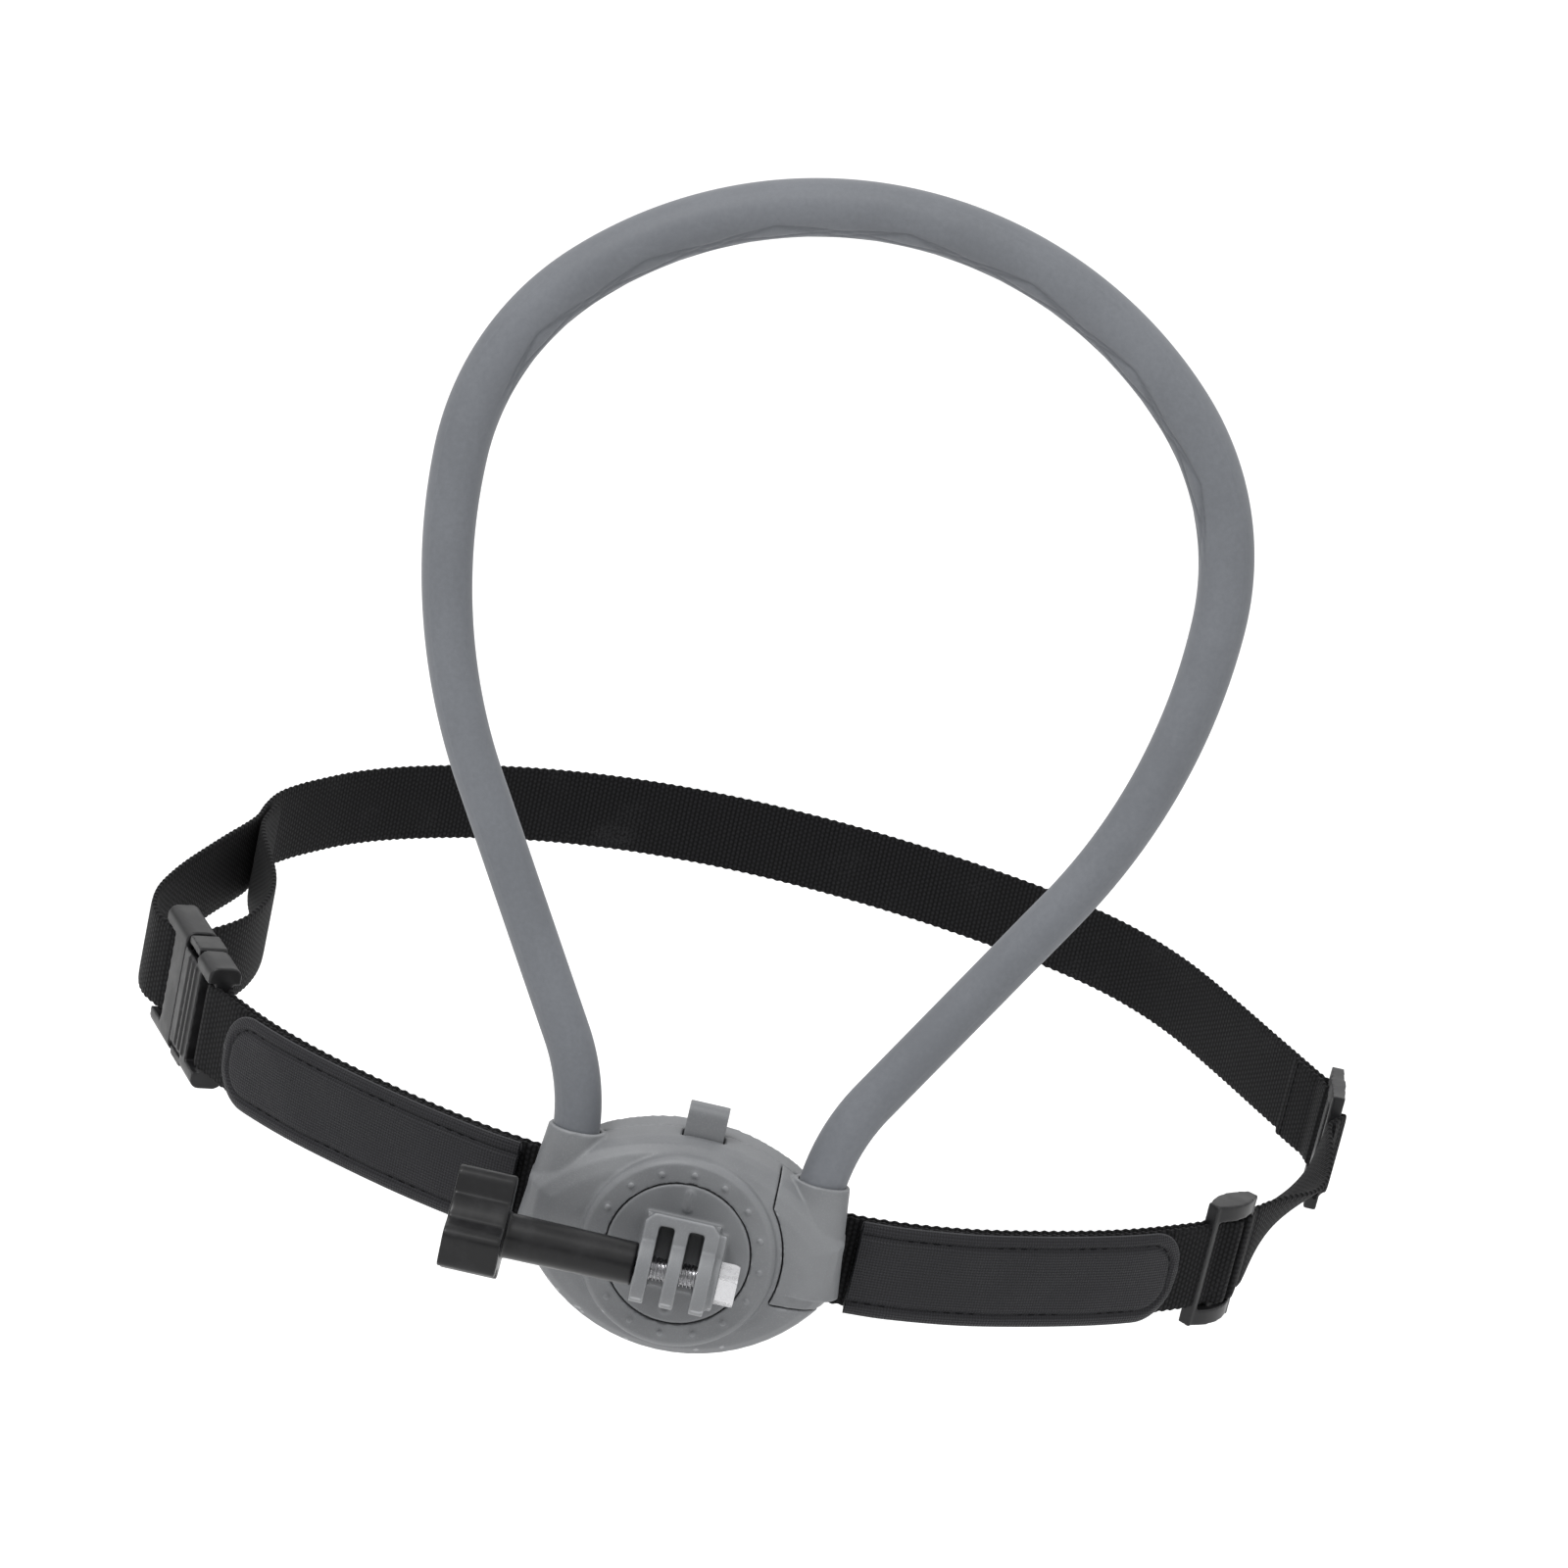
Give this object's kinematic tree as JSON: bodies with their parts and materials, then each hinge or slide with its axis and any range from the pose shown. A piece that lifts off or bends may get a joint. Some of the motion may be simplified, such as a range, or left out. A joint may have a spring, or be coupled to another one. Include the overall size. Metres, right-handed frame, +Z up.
{
  "type": "neck and chest strap camera mount",
  "caption": "Neck hoop with a click-stop dial, three-finger camera tab, thumb screw and padded chest strap with a side-release buckle.",
  "frame": {"origin": "centre of the pod's flat back face, on the dial's axis", "axes": "+Y out of the back face towards the wearer, -Y towards the camera, +X to the right seen from the camera side, +Z up towards the nape"},
  "size_m": [0.2803, 0.2964, 0.2452],
  "materials": {
    "pod_plastic": "fine-textured mid-grey moulded plastic",
    "silicone": "matt blue-grey silicone",
    "black_plastic": "near-black semi-gloss plastic",
    "hardware_plastic": "dark grey satin acetal",
    "bright_steel": "bright zinc-plated steel",
    "spring_steel": "plain spring steel",
    "core_metal": "soft bendable wire",
    "webbing": "near-black ribbed nylon webbing",
    "pad_cover": "dark woven-grain coated fabric, stitched"
  },
  "bodies": {
    "pod": {"pod_front_shell": "pod_plastic", "pod_back_tray": "pod_plastic", "back_screws": "bright_steel", "strap_pins": "bright_steel", "release_spring": "spring_steel", "detent_ball": "bright_steel", "detent_spring": "spring_steel", "left_core": "core_metal", "left_sleeve": "silicone", "left_ferrule": "bright_steel", "nape_core": "core_metal", "nape_sleeve": "silicone", "left_webbing": "webbing", "left_pad": "pad_cover", "right_webbing": "webbing", "right_pad": "pad_cover", "buckle_socket": "hardware_plastic", "back_webbing": "webbing", "link_webbing": "webbing", "pad_slider": "hardware_plastic", "tri_glide": "hardware_plastic"},
    "dial": {"dial_disc": "pod_plastic", "dial_washer": "bright_steel", "dial_screw": "bright_steel", "camera_nut": "bright_steel"},
    "thumb_screw": {"thumb_knob": "black_plastic", "thumb_stud": "bright_steel"},
    "release": {"release_tab": "pod_plastic"},
    "right_limb": {"right_core": "core_metal", "right_sleeve": "silicone", "right_ferrule": "bright_steel", "right_connector": "pod_plastic", "connector_cover": "pod_plastic", "cover_screws": "bright_steel"},
    "plug": {"buckle_plug": "hardware_plastic", "loop_webbing": "webbing"},
    "prong_up": {"upper_prong": "hardware_plastic"},
    "prong_low": {"lower_prong": "hardware_plastic"}
  },
  "joints": [
    {"name": "dial_turn", "type": "hinge", "parent": "pod", "child": "dial", "pos_m": [0, -0.02, 0], "axis": [0, -1, 0], "continuous": true},
    {"name": "screw_turn", "type": "hinge", "parent": "dial", "child": "thumb_screw", "pos_m": [0, -0.036, 0], "axis": [1, 0, 0], "continuous": true},
    {"name": "release_press", "type": "slide", "parent": "pod", "child": "release", "axis": [0, 0, -1], "range_m": [0, 0.0022], "stiffness_N_per_m": 900, "springref_m": -0.0015, "deforming": ["release_spring"]},
    {"name": "hoop_open", "type": "hinge", "parent": "pod", "child": "right_limb", "pos_m": [0, 0.00382, 0.2153], "axis": [0, -0.9968, -0.0802], "range_deg": [0, 24], "deforming": ["nape_sleeve", "nape_core"]},
    {"name": "buckle_pull", "type": "slide", "parent": "pod", "child": "plug", "axis": [-0.4384, 0.8944, 0.0893], "range_m": [0, 0.014]},
    {"name": "upper_squeeze", "type": "hinge", "parent": "plug", "child": "prong_up", "pos_m": [-0.11849, 0.05816, 0.01559], "axis": [0.8988, 0.4362, 0.0435], "range_deg": [0, 7], "stiffness_Nm_per_rad": 0.4, "springref_deg": -2.86},
    {"name": "lower_squeeze", "type": "hinge", "parent": "plug", "child": "prong_low", "pos_m": [-0.11849, 0.05985, -0.00133], "axis": [-0.8988, -0.4362, -0.0435], "range_deg": [0, 7], "stiffness_Nm_per_rad": 0.4, "springref_deg": -2.86}
  ],
  "couplings": [
    {"joint": "lower_squeeze", "follows": "upper_squeeze", "ratio": 1}
  ]
}
